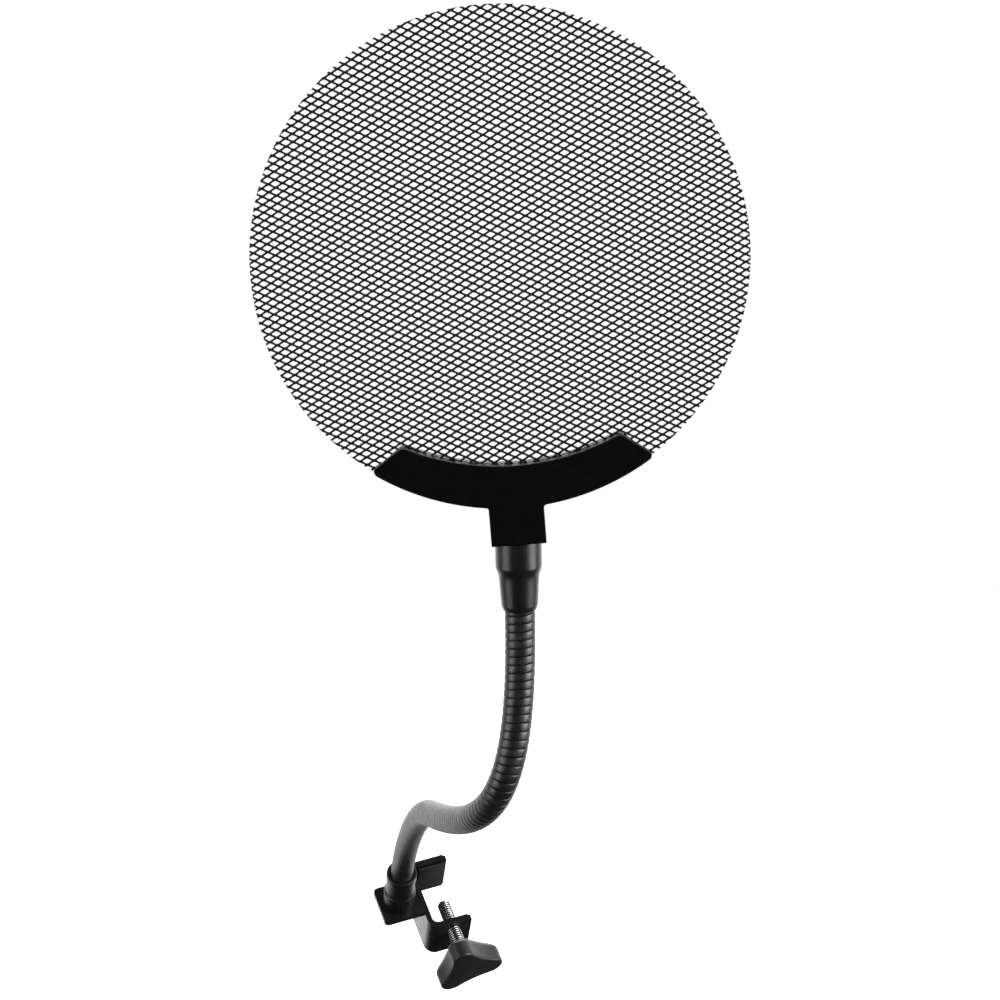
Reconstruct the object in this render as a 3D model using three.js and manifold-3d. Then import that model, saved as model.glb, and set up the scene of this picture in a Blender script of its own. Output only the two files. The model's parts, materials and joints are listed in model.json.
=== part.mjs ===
// Pop filter: a round metal-mesh screen in a crescent-shaped holder, on a gooseneck that rises from
// a screw clamp for a microphone boom pole.
//
// Millimetres, +Z up. -Y is towards the singer. The origin is where the axis of the clamp screw
// crosses the axis of the pole that the clamp grips.

import * as THREE from "three";
import { mergeVertices } from "three/addons/utils/BufferGeometryUtils.js";
import Module from "manifold-3d";

const wasm = await Module();
wasm.setup();

const GAP = 0.3; // clearance between pieces that touch on the real object
const PAST = 1; // how far a cutting tool runs past the face that it opens

// Screen and its holder. The head's own frame has its origin at the centre of the screen. The holder
// is a crescent between two arcs. Its inner arc's centre is above the screen's own.
const HEAD_CENTRE = new THREE.Vector3(52, -231, 300);
const SCREEN_RADIUS = 76; // a 6 inch screen
const SCREEN_THICKNESS = 0.5;
const HOLDER = {
  frontRadius: 75.7, // outer arc of the front shell
  rearRadius: 76.9, // outer arc of the rear shell, whose rim stands round the screen's edge
  innerArc: { radius: 76, rise: 13.4 },
  middle: -0.9, // the stem and the four corners are centred a little off the screen's centre
  outerHalfWidth: 43.7, // to the sharp outer corner
  innerHalfWidth: 33.6,
  cornerTrim: 1.7, // how far a rounded corner starts before the sharp one
  front: -4.5,
  back: 4,
};
const STEM = { halfWidth: 8.6, bottom: -87.8, fillet: 1.2, back: 10, bossTop: -74 };
const HOLDER_SCREW = {
  radius: 71,
  angles: [-24, 0, 24],
  head: 2.2,
  chamfer: 0.5,
  shank: 1,
  depth: 3,
  seat: 2.6,
  cross: { length: 2.4, width: 0.6, depth: 0.8 },
};
const GASKET = { inset: 2, thickness: 0.5, width: 2.5, halfAngle: 22 };

// Inside the stem, heights from the stem's bottom face.
const PLUG = { radius: 4, top: 11.2, chamfer: 0.6, foot: 1.4, spigot: 1.6, spigotEnd: -14 };
const GRUB = { radius: 1.5, height: 6.5, length: 3, socket: 0.85, socketDepth: 1.4 };

// Gooseneck. Its upper end leaves the stem a little off the vertical.
const NECK_TILT = 3; // degrees
const NECK_ENTRY = new THREE.Vector3(-1.2, 2.5, STEM.bottom); // in the head's frame
const NECK_RADIUS = 4.75; // 3/8 inch tube
const WEDGE_BORE = 4;
const CORE = { outer: 3.5, bore: 2.2 };
const SLEEVE_LENGTH = 22.4;
const UPPER_SLEEVE = [
  [5.35, 0], // radius, height above the sleeve's lower end
  [5.6, 0.8],
  [5.9, 4],
  [6.35, 10.4],
  [6.45, 11.8],
  [7.35, 14.2],
];
const NECK_ROUTE = {
  middle: new THREE.Vector3(-41.5, 79.5, -206), // in the head's frame
  heading: { turn: -12.6, climb: -16 }, // degrees, measured from straight back
  stemHandle: 64,
  middleHandles: { up: 117, down: 30 },
  ferruleHandle: 27,
};
const NECK_START = 8; // height of the neck's lower end above the tab
const NECK_HINGES = 8;
const HINGE_GAP = 2.8; // keeps the flat ends apart where a hinge bends the tightest curve further
const STEP_LENGTH = 6; // between the rings of points along a tube

// Clamp. Its own frame has Z up along the pole, -Y out along the screw, and the web at -X.
const POLE_LEAN = 36; // degrees, towards the singer
const POLE_SWAY = 11.5; // degrees, to the right
const CLAMP_TURN = 25; // degrees, about the pole
const STRIP = {
  thickness: 2.4,
  top: 7,
  bottom: -16,
  webOuter: -11.3,
  bendRadius: 5,
  jawEnd: 7.5,
  armEnd: 8,
};
const POLE_RADIUS = 8;
const ARM_FACE = -19.9; // the inner face of the screw arm
const TAB = { outer: -29.3, front: -13.8, back: 4.2, corner: 2 };
const FERRULE = { x: -20.3, y: -4.8, height: 24 };
const LOWER_SLEEVE = [
  [6.8, GAP], // radius, height above the tab
  [6.9, 9.4],
  [6.3, 10.6],
  [6.2, 19.6],
  [6.5, 20.4],
  [6.5, 23.5],
  [6, FERRULE.height],
];
const LOWER_FITTING = { radius: 4.5, shoulder: 7.6, spigotEnd: 20 };
const SCREW = { radius: 2.7, chamfer: 0.8, hole: 3, tip: POLE_RADIUS, end: 41 };
const KNOB = { hubStart: 29.3, rimStart: 34.8, end: 43, bevel: 1, neckRadius: 4.9, flareRadius: 7.6 };
const KNOB_LOBES = { turn: -12, centre: 11, radius: 5, halfSweep: 72, hollow: 8.2 };
const TAB_SCREW = {
  head: 3,
  headHeight: 2,
  chamfer: 0.5,
  shank: 1.5,
  reach: 6,
  socket: 1.3,
  socketDepth: 1.2,
};
const WASHER = { radius: 4, thickness: 0.8 };
const PAD = { left: -6, right: 6.5, thickness: 1, margin: 2 };

const JAW_FACE = POLE_RADIUS + PAD.thickness + GAP; // the pad lies between the pole and the jaw

const finish = (color, roughness, metalness) =>
  new THREE.MeshStandardMaterial({ color, roughness, metalness });
const BLACK_WIRE = finish(0x0a0a0b, 0.45, 0.6);
const BLACK_PLASTIC = finish(0x0c0c0d, 0.6, 0);
const BLACK_SLEEVE = finish(0x1b1b1d, 0.5, 0);
const NECK_PAINT = finish(0x1c1a1a, 0.4, 0.5);
const CLAMP_PAINT = finish(0x0b0b0b, 0.25, 0.5);
const BARE_STEEL = finish(0x9a9a98, 0.35, 1);
const ZINC = finish(0xc9cbcc, 0.3, 1);
const RUBBER = finish(0x151515, 0.9, 0);

const radians = THREE.MathUtils.degToRad;

// ---------------------------------------------------------------- geometry helpers

function solidOf(geometry) {
  const bare = geometry.clone();
  bare.deleteAttribute("normal");
  bare.deleteAttribute("uv");
  const merged = mergeVertices(bare, 1e-4);
  return new wasm.Manifold(
    new wasm.Mesh({
      numProp: 3,
      vertProperties: merged.attributes.position.array,
      triVerts: new Uint32Array(merged.index.array),
    }),
  );
}

function geometryOf(solid) {
  const mesh = solid.getMesh();
  const geometry = new THREE.BufferGeometry();
  geometry.setAttribute("position", new THREE.BufferAttribute(mesh.vertProperties, 3));
  geometry.setIndex(new THREE.BufferAttribute(mesh.triVerts, 1));
  const flat = geometry.toNonIndexed();
  flat.computeVertexNormals();
  return flat;
}

const cut = (geometry, ...tools) =>
  geometryOf(tools.reduce((left, tool) => left.subtract(solidOf(tool)), solidOf(geometry)));
const join = (geometry, ...others) =>
  geometryOf(others.reduce((sum, other) => sum.add(solidOf(other)), solidOf(geometry)));

// A solid turned about Z from [radius, height] points, listed from the bottom up on the outside.
function turned(profile, segments = 24) {
  const points = profile.map(([r, z]) => new THREE.Vector2(r, z));
  return new THREE.LatheGeometry(points, segments).rotateX(Math.PI / 2);
}

// A ring turned about Z: its outside from the bottom up, closed by a straight bore.
const ring = (bore, outside, segments) => {
  const low = outside[0][1];
  const high = outside[outside.length - 1][1];
  return turned([[bore, low], ...outside, [bore, high], [bore, low]], segments);
};

const rod = (radius, low, high, segments = 16) =>
  turned([[0, low], [radius, low], [radius, high], [0, high]], segments);

const extruded = (shape, low, high, curveSegments = 12) =>
  new THREE.ExtrudeGeometry(shape, {
    depth: high - low,
    bevelEnabled: false,
    curveSegments,
  }).translate(0, 0, low);

// A flat piece whose outline lies in the XZ plane, from y = front to y = back.
const plate = (shape, front, back, curveSegments) =>
  extruded(shape, -back, -front, curveSegments).rotateX(Math.PI / 2);

// A rod along Y, from y = front to y = back.
const rodAlongY = (radius, front, back, segments) =>
  rod(radius, -back, -front, segments).rotateX(Math.PI / 2);

const piece = (name, geometry, material) => {
  const mesh = new THREE.Mesh(geometry, material);
  mesh.name = name;
  return mesh;
};

// A point at a radius and an angle in degrees from straight down, in the screen's plane.
const belowCentre = (radius, angle) =>
  new THREE.Vector2(radius * Math.sin(radians(angle)), -radius * Math.cos(radians(angle)));

const towards = (from, to, distance) =>
  to.clone().sub(from).setLength(distance).add(from);

// ---------------------------------------------------------------- screen head

// A point of an arc of the crescent, at an angle from straight down about the arc's own centre.
const arcPoint = ({ radius, rise }, angle) =>
  new THREE.Vector2(radius * Math.sin(angle), rise - radius * Math.cos(angle));

// One end of the crescent: its two sharp corners, and where each one's rounding starts and ends.
function crescentEnd(side, outerArc) {
  const { innerArc, middle, outerHalfWidth, innerHalfWidth, cornerTrim } = HOLDER;
  const outerAngle = Math.asin((middle + side * outerHalfWidth) / outerArc.radius);
  const innerAngle = Math.asin((middle + side * innerHalfWidth) / innerArc.radius);
  const outer = arcPoint(outerArc, outerAngle);
  const inner = arcPoint(innerArc, innerAngle);
  const outerStop = outerAngle - (side * cornerTrim) / outerArc.radius;
  const innerStop = innerAngle - (side * cornerTrim) / innerArc.radius;
  return {
    outer,
    inner,
    outerStop,
    innerStop,
    outerStart: arcPoint(outerArc, outerStop),
    outerCut: towards(outer, inner, cornerTrim),
    innerCut: towards(inner, outer, cornerTrim),
    innerStart: arcPoint(innerArc, innerStop),
  };
}

// A shell's outline: a crescent that is open at the top, with the stem below.
function holderOutline(outerRadius) {
  const { innerArc, middle } = HOLDER;
  const { halfWidth, bottom, fillet } = STEM;
  const outerArc = { radius: outerRadius, rise: 0 };
  const right = crescentEnd(1, outerArc);
  const left = crescentEnd(-1, outerArc);
  const besideStem = (side) => Math.asin((middle + side * (halfWidth + fillet)) / outerRadius);

  const shape = new THREE.Shape();
  const lineTo = (p) => shape.lineTo(p.x, p.y);
  const roundTo = (corner, p) => shape.quadraticCurveTo(corner.x, corner.y, p.x, p.y);
  const arcTo = ({ radius, rise }, from, to, clockwise) =>
    shape.absarc(0, rise, radius, from - Math.PI / 2, to - Math.PI / 2, clockwise);
  const stemSide = (side) => {
    const root = arcPoint(outerArc, besideStem(side));
    const x = middle + side * halfWidth;
    return { x, root, corner: new THREE.Vector2(x, root.y), below: root.y - fillet };
  };
  const stemRight = stemSide(1);
  const stemLeft = stemSide(-1);

  shape.moveTo(stemRight.x, bottom);
  shape.lineTo(stemRight.x, stemRight.below);
  roundTo(stemRight.corner, stemRight.root);
  arcTo(outerArc, besideStem(1), right.outerStop, false);
  roundTo(right.outer, right.outerCut);
  lineTo(right.innerCut);
  roundTo(right.inner, right.innerStart);
  arcTo(innerArc, right.innerStop, left.innerStop, true);
  roundTo(left.inner, left.innerCut);
  lineTo(left.outerCut);
  roundTo(left.outer, left.outerStart);
  arcTo(outerArc, left.outerStop, besideStem(-1), false);
  shape.quadraticCurveTo(stemLeft.corner.x, stemLeft.corner.y, stemLeft.x, stemLeft.below);
  shape.lineTo(stemLeft.x, bottom);
  shape.closePath();
  return shape;
}

const toHolderScrew = (geometry, angle) => {
  const centre = belowCentre(HOLDER_SCREW.radius, angle);
  return geometry.translate(centre.x, 0, centre.y);
};
const atHolderScrews = (make) => HOLDER_SCREW.angles.map((angle) => toHolderScrew(make(), angle));

// The flat disc of expanded metal, with a hole for each holder screw.
function meshScreen() {
  const half = SCREEN_THICKNESS / 2;
  const disc = rodAlongY(SCREEN_RADIUS, -half, half, 96);
  const holes = atHolderScrews(() => rodAlongY(HOLDER_SCREW.shank + GAP, -PAST, PAST, 10));
  return piece("mesh_screen", cut(disc, ...holes), BLACK_WIRE);
}

// The bore in the stem that takes the plug on the gooseneck's upper end.
const plugBore = () =>
  rod(PLUG.radius + GAP, -PAST, PLUG.top + GAP, 24).applyMatrix4(stemAxis.matrix);

// The front shell's flat back face lies on the rim of the rear shell.
const FRONT_SHELL_BACK = -SCREEN_THICKNESS / 2 - GAP;
const REAR_SHELL_FRONT = FRONT_SHELL_BACK + GAP;

function bracketFrontShell() {
  const shell = plate(holderOutline(HOLDER.frontRadius), HOLDER.front, FRONT_SHELL_BACK, 16);
  const groove = plate(gasketOutline(GAP), FRONT_SHELL_BACK - GASKET.thickness - GAP, PAST, 16);
  const pilotHoles = atHolderScrews(() =>
    rodAlongY(HOLDER_SCREW.shank + GAP, -HOLDER_SCREW.depth - GAP, PAST, 10),
  );
  const cutTools = [groove, plugBore(), ...pilotHoles];
  return piece("bracket_front_shell", cut(shell, ...cutTools), BLACK_PLASTIC);
}

function bracketRearShell() {
  const { halfWidth, bottom, back, bossTop } = STEM;
  const { head, shank, seat } = HOLDER_SCREW;
  const boss = new THREE.BoxGeometry(2 * halfWidth, back - GAP, bossTop - bottom).translate(
    HOLDER.middle,
    (back + GAP) / 2,
    (bossTop + bottom) / 2,
  );
  const crescent = plate(holderOutline(HOLDER.rearRadius), REAR_SHELL_FRONT, HOLDER.back, 16);
  const clearHoles = atHolderScrews(() => rodAlongY(shank + GAP, -PAST, HOLDER.back + PAST, 10));
  const headSeats = atHolderScrews(() => rodAlongY(head + GAP, seat, HOLDER.back + PAST, 16));
  const grubHole = rod(GRUB.radius + GAP, PLUG.radius - PAST, back + PAST, 12)
    .rotateX(-Math.PI / 2)
    .translate(0, 0, GRUB.height)
    .applyMatrix4(stemAxis.matrix);
  const pocket = rodAlongY(SCREEN_RADIUS + GAP, -PAST, SCREEN_THICKNESS / 2 + GAP, 96);
  const shell = join(crescent, boss);
  const hollowed = cut(shell, pocket, plugBore(), grubHole, ...clearHoles, ...headSeats);
  return piece("bracket_rear_shell", hollowed, BLACK_PLASTIC);
}

// A band that follows the holder's inner arc, with a margin added all round.
function gasketOutline(margin) {
  const { radius, rise } = HOLDER.innerArc;
  const inner = radius + GASKET.inset - margin;
  const outer = radius + GASKET.inset + GASKET.width + margin;
  const end = radians(GASKET.halfAngle) + margin / radius;
  const down = -Math.PI / 2;
  const shape = new THREE.Shape();
  shape.absarc(0, rise, outer, down - end, down + end, false);
  shape.absarc(0, rise, inner, down + end, down - end, true);
  shape.closePath();
  return shape;
}

// A strip in the front shell's groove that presses on the screen, inside the line of screws.
function screenGasket() {
  const front = FRONT_SHELL_BACK - GASKET.thickness;
  return piece("screen_gasket", plate(gasketOutline(0), front, FRONT_SHELL_BACK, 16), RUBBER);
}

// A cross-headed screw, driven from behind.
function holderScrew(index) {
  const { head, chamfer, shank, depth, cross } = HOLDER_SCREW;
  const seat = HOLDER_SCREW.seat + GAP;
  const top = HOLDER.back;
  const body = turned([
    [0, -depth],
    [shank, -depth],
    [shank, seat],
    [head, seat],
    [head, top - chamfer],
    [head - chamfer, top],
    [0, top],
  ]);
  const slot = new THREE.BoxGeometry(cross.length, cross.width, 2 * cross.depth);
  const slots = [0, Math.PI / 2].map((turn) => slot.clone().rotateZ(turn).translate(0, 0, top));
  const screw = cut(body, ...slots).rotateX(-Math.PI / 2);
  const placed = toHolderScrew(screw, HOLDER_SCREW.angles[index]);
  return piece(`bracket_screw_${index + 1}`, placed, ZINC);
}

// The stem's inner axis: Z runs up it, and 0 is at the stem's bottom face.
const stemAxis = new THREE.Group();
stemAxis.position.copy(NECK_ENTRY);
stemAxis.rotation.y = radians(NECK_TILT);
stemAxis.updateMatrix();

// The metal plug that the gooseneck is crimped onto.
function upperEndFitting() {
  const { radius, top, chamfer, foot, spigot, spigotEnd } = PLUG;
  const profile = [
    [0, spigotEnd],
    [spigot, spigotEnd],
    [spigot, foot],
    [radius, foot],
    [radius, top - chamfer],
    [radius - chamfer, top],
    [0, top],
  ];
  return piece("upper_end_fitting", turned(profile, 24), BARE_STEEL);
}

// A headless screw with a hexagon socket, through the back of the stem onto the plug.
function stemSetScrew() {
  const { radius, height, length, socket, socketDepth } = GRUB;
  const start = PLUG.radius + GAP;
  const end = start + length;
  const body = rod(radius, start, end, 16);
  const hexagon = rod(socket, end - socketDepth, end + PAST, 6);
  const screw = cut(body, hexagon).rotateX(-Math.PI / 2).translate(0, 0, height);
  return piece("stem_set_screw", screw, BARE_STEEL);
}

// The stepped sleeve over the joint of stem and gooseneck.
function upperSleeve() {
  const widest = UPPER_SLEEVE[UPPER_SLEEVE.length - 1][0];
  const top = -GAP - widest * Math.sin(radians(NECK_TILT)); // clear of the stem's level face
  const outside = UPPER_SLEEVE.map(([radius, height]) => [radius, height - SLEEVE_LENGTH]);
  const sleeve = ring(NECK_RADIUS + GAP, [...outside, [widest, top]], 32);
  return piece("upper_sleeve", sleeve, BLACK_SLEEVE);
}

function screenHead() {
  const head = new THREE.Group();
  head.position.copy(HEAD_CENTRE);
  head.add(meshScreen(), bracketFrontShell(), bracketRearShell(), screenGasket());
  HOLDER_SCREW.angles.forEach((_, index) => head.add(holderScrew(index)));
  stemAxis.add(upperEndFitting(), stemSetScrew(), upperSleeve());
  head.add(stemAxis);
  return head;
}

// ---------------------------------------------------------------- clamp

// The strip's profile across the pole: fixed jaw behind, web at the left, screw arm in front.
function stripProfile() {
  const { thickness, webOuter, bendRadius, jawEnd, armEnd } = STRIP;
  const inner = bendRadius - thickness;
  const jawBack = JAW_FACE + thickness;
  const armFront = ARM_FACE - thickness;
  const bend = webOuter + bendRadius;
  const shape = new THREE.Shape();
  shape.moveTo(armEnd, armFront);
  shape.lineTo(armEnd, ARM_FACE);
  shape.absarc(bend, ARM_FACE + inner, inner, -Math.PI / 2, -Math.PI, true);
  shape.absarc(bend, JAW_FACE - inner, inner, Math.PI, Math.PI / 2, true);
  shape.lineTo(jawEnd, JAW_FACE);
  shape.lineTo(jawEnd, jawBack);
  shape.absarc(bend, jawBack - bendRadius, bendRadius, Math.PI / 2, Math.PI, false);
  shape.absarc(bend, armFront + bendRadius, bendRadius, Math.PI, 1.5 * Math.PI, false);
  shape.closePath();
  return shape;
}

// The tab that carries the gooseneck, bent out from the top of the web.
function tabProfile() {
  const { outer, front, back, corner } = TAB;
  const root = STRIP.webOuter + STRIP.thickness / 2; // well inside the web, which it joins
  const shape = new THREE.Shape();
  shape.moveTo(root, front);
  shape.lineTo(root, back);
  shape.absarc(outer + corner, back - corner, corner, Math.PI / 2, Math.PI, false);
  shape.absarc(outer + corner, front + corner, corner, Math.PI, 1.5 * Math.PI, false);
  shape.closePath();
  return shape;
}

function clampBody() {
  const { top, bottom, thickness } = STRIP;
  const strip = extruded(stripProfile(), bottom, top, 6);
  const tab = extruded(tabProfile(), top - thickness, top, 5);
  const screwHole = rodAlongY(SCREW.hole, ARM_FACE - thickness - PAST, ARM_FACE + PAST, 24);
  const tabHole = rod(TAB_SCREW.shank + GAP, top - thickness - PAST, top + PAST, 16);
  tabHole.translate(FERRULE.x, FERRULE.y, 0);
  return piece("clamp_body", cut(join(strip, tab), screwHole, tabHole), CLAMP_PAINT);
}

// A thin rubber strip on the fixed jaw.
function jawPad() {
  const { left, right, thickness, margin } = PAD;
  const height = STRIP.top - STRIP.bottom - 2 * margin;
  const strip = new THREE.BoxGeometry(right - left, thickness, height).translate(
    (left + right) / 2,
    POLE_RADIUS + thickness / 2,
    (STRIP.top + STRIP.bottom) / 2,
  );
  return piece("jaw_pad", strip, RUBBER);
}

// The ferrule that the gooseneck rises out of, standing on the tab. Z = 0 is the tab's top face.
const lowerSleeve = () =>
  piece("lower_sleeve", ring(NECK_RADIUS + GAP, LOWER_SLEEVE, 32), BLACK_SLEEVE);

function lowerEndFitting() {
  const { radius, shoulder, spigotEnd } = LOWER_FITTING;
  const foot = 2 * GAP;
  const body = turned([
    [0, foot],
    [radius, foot],
    [radius, shoulder],
    [PLUG.spigot, shoulder],
    [PLUG.spigot, spigotEnd],
    [0, spigotEnd],
  ]);
  const thread = rod(TAB_SCREW.shank + GAP, -PAST, TAB_SCREW.reach + GAP, 16);
  return piece("lower_end_fitting", cut(body, thread), BARE_STEEL);
}

function tabWasher() {
  const top = -STRIP.thickness - GAP;
  const { radius, thickness } = WASHER;
  const washer = ring(TAB_SCREW.shank + GAP, [[radius, top - thickness], [radius, top]], 24);
  return piece("tab_washer", washer, ZINC);
}

function tabScrew() {
  const { head, headHeight, chamfer, shank, reach, socket, socketDepth } = TAB_SCREW;
  const under = -STRIP.thickness - WASHER.thickness - 2 * GAP;
  const low = under - headHeight;
  const body = turned([
    [0, low],
    [head - chamfer, low],
    [head, low + chamfer],
    [head, under],
    [shank, under],
    [shank, reach],
    [0, reach],
  ]);
  const hexagon = rod(socket, low - PAST, low + socketDepth, 6);
  return piece("tab_screw", cut(body, hexagon), ZINC);
}

function ferruleGroup() {
  const group = new THREE.Group();
  group.position.set(FERRULE.x, FERRULE.y, STRIP.top);
  group.add(lowerSleeve(), lowerEndFitting(), tabWasher(), tabScrew());
  return group;
}

// The screw's own frame: Z runs out along the screw, and 0 is the pole's axis.
function clampScrew() {
  const { radius, chamfer, tip, end } = SCREW;
  const profile = [
    [0, tip],
    [radius - chamfer, tip],
    [radius, tip + chamfer],
    [radius, end],
    [0, end],
  ];
  return piece("clamp_screw", turned(profile, 20), ZINC);
}

// Three round lobes with hollow sides between them.
function knobOutline() {
  const { turn, centre, radius, halfSweep, hollow } = KNOB_LOBES;
  const polar = (length, angle) =>
    new THREE.Vector2(length * Math.cos(angle), length * Math.sin(angle));
  const sweep = radians(halfSweep);
  const shape = new THREE.Shape();
  for (let lobe = 0; lobe < 3; lobe++) {
    const angle = radians(turn + 120 * lobe);
    const next = angle + radians(120);
    const middle = polar(centre, angle);
    const side = polar(hollow, angle + radians(60));
    const start = polar(centre, next).add(polar(radius, next - sweep));
    shape.absarc(middle.x, middle.y, radius, angle - sweep, angle + sweep, false);
    shape.quadraticCurveTo(side.x, side.y, start.x, start.y);
  }
  return shape;
}

function clampKnob() {
  const { hubStart, rimStart, end, bevel, neckRadius, flareRadius } = KNOB;
  const rim = new THREE.ExtrudeGeometry(knobOutline(), {
    depth: end - rimStart - 2 * bevel,
    bevelEnabled: true,
    bevelThickness: bevel,
    bevelSize: bevel,
    bevelOffset: -bevel,
    bevelSegments: 1,
    curveSegments: 8,
  }).translate(0, 0, rimStart + bevel);
  const hub = turned([
    [0, hubStart],
    [neckRadius, hubStart],
    [neckRadius, hubStart + bevel],
    [flareRadius, rimStart + bevel],
    [0, rimStart + bevel],
  ]);
  const bore = rod(SCREW.radius + GAP, hubStart - PAST, SCREW.end + GAP, 20);
  return piece("clamp_knob", cut(join(rim, hub), bore), BLACK_PLASTIC);
}

function clampGroup() {
  const clamp = new THREE.Group();
  clamp.rotation.set(radians(POLE_LEAN), radians(POLE_SWAY), radians(CLAMP_TURN), "YXZ");
  const screw = new THREE.Group();
  screw.name = "screw";
  screw.rotation.x = Math.PI / 2;
  screw.add(clampScrew(), clampKnob());
  clamp.add(clampBody(), jawPad(), ferruleGroup(), screw);
  return clamp;
}

// ---------------------------------------------------------------- gooseneck

// A stretch of a longer path, between two distances along it.
class Stretch extends THREE.Curve {
  constructor(path, from, to) {
    super();
    Object.assign(this, { path, from, to });
  }

  getPoint(t, target = new THREE.Vector3()) {
    const distance = this.from + (this.to - this.from) * t;
    return target.copy(this.path.getPointAt(distance / this.path.getLength()));
  }
}

// The neck's centreline in the part's frame: straight in both sleeves, two smooth curves between.
function neckPath(head, ferrule) {
  const { middle, heading, stemHandle, middleHandles, ferruleHandle } = NECK_ROUTE;
  const inStem = (z) => stemAxis.localToWorld(new THREE.Vector3(0, 0, z));
  const inFerrule = (z) => ferrule.localToWorld(new THREE.Vector3(0, 0, z));
  const centre = head.localToWorld(middle.clone());
  const turn = radians(heading.turn);
  const climb = radians(heading.climb);
  const direction = new THREE.Vector3(
    Math.sin(turn) * Math.cos(climb),
    Math.cos(turn) * Math.cos(climb),
    Math.sin(climb),
  );
  const along = (distance) => centre.clone().addScaledVector(direction, distance);
  const { height } = FERRULE;

  const path = new THREE.CurvePath();
  path.add(new THREE.LineCurve3(inFerrule(NECK_START), inFerrule(height)));
  path.add(
    new THREE.CubicBezierCurve3(
      inFerrule(height),
      inFerrule(height + ferruleHandle),
      along(middleHandles.down),
      centre,
    ),
  );
  path.add(
    new THREE.CubicBezierCurve3(
      centre,
      along(-middleHandles.up),
      inStem(-SLEEVE_LENGTH - stemHandle),
      inStem(-SLEEVE_LENGTH),
    ),
  );
  path.add(new THREE.LineCurve3(inStem(-SLEEVE_LENGTH), inStem(-1)));
  path.curves.forEach((curve) => (curve.arcLengthDivisions = 400));
  return path;
}

// A tube along a stretch of the neck.
function tube(stretch, outer, bore, sides, boreSides) {
  const polygon = (radius, count) => {
    const corner = (k) => radians((360 * k) / count);
    const point = (k) => new THREE.Vector2(Math.cos(corner(k)), Math.sin(corner(k)));
    return Array.from({ length: count }, (_, k) => point(k).multiplyScalar(radius));
  };
  const shape = new THREE.Shape(polygon(outer, sides));
  shape.holes.push(new THREE.Path(polygon(bore, boreSides).reverse()));
  const steps = Math.round((stretch.to - stretch.from) / STEP_LENGTH);
  return new THREE.ExtrudeGeometry(shape, { steps, extrudePath: stretch });
}

// The neck bends at hinges spread evenly between the sleeves. Each hinge group holds what is beyond
// it, with Z along the neck and X along the hinge's axis.
function addNeck(part, clamp, head, ferrule) {
  const path = neckPath(head, ferrule);
  const length = path.getLength();
  const start = FERRULE.height - NECK_START;
  const spacing = (length - start - SLEEVE_LENGTH) / NECK_HINGES;
  const place = (object, parent) => {
    part.add(object);
    part.updateMatrixWorld(true);
    parent.attach(object);
  };
  let below = clamp;
  let from = 0;
  for (let index = 0; index <= NECK_HINGES; index++) {
    const last = index === NECK_HINGES;
    const at = last ? length : start + (index + 0.5) * spacing;
    const stretch = new Stretch(path, from, last ? at : at - HINGE_GAP / 2);
    const core = tube(stretch, CORE.outer, CORE.bore, 12, 8);
    const wedge = tube(stretch, NECK_RADIUS, WEDGE_BORE, 12, 12);
    place(piece(`gooseneck_core_${index + 1}`, core, BARE_STEEL), below);
    place(piece(`gooseneck_wedge_${index + 1}`, wedge, NECK_PAINT), below);
    if (last) break;
    const hinge = new THREE.Group();
    hinge.name = `neck_hinge_${index + 1}`;
    hinge.position.copy(path.getPointAt(at / length));
    hinge.quaternion.setFromRotationMatrix(hingeFrame(path.getTangentAt(at / length), index));
    place(hinge, below);
    below = hinge;
    from = at + HINGE_GAP / 2;
  }
  below.attach(head);
}

// The hinges' axes take turns: level, upright, then both again with the opposite sign.
function hingeFrame(tangent, index) {
  const level = new THREE.Vector3(1, 0, 0).addScaledVector(tangent, -tangent.x).normalize();
  const upright = tangent.clone().cross(level);
  const axis = (index % 2 ? upright : level).multiplyScalar(index % 4 < 2 ? 1 : -1);
  return new THREE.Matrix4().makeBasis(axis, tangent.clone().cross(axis), tangent);
}

// ---------------------------------------------------------------- assembly

const part = new THREE.Group();
const head = screenHead();
const clamp = clampGroup();
part.add(head, clamp);
part.updateMatrixWorld(true);
addNeck(part, clamp, head, clamp.getObjectByName("lower_sleeve").parent);

export default part;
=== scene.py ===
# Pop filter: a round screen of expanded metal in a crescent-shaped holder, on a gooseneck that rises
# from a screw clamp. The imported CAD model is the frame, and this script gives it its looks.
# Lengths are in millimetres until a mesh is made, and Blender's own units are metres.

import json
import math

import bmesh
import bpy
import numpy as np
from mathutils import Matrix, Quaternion, Vector


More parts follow.
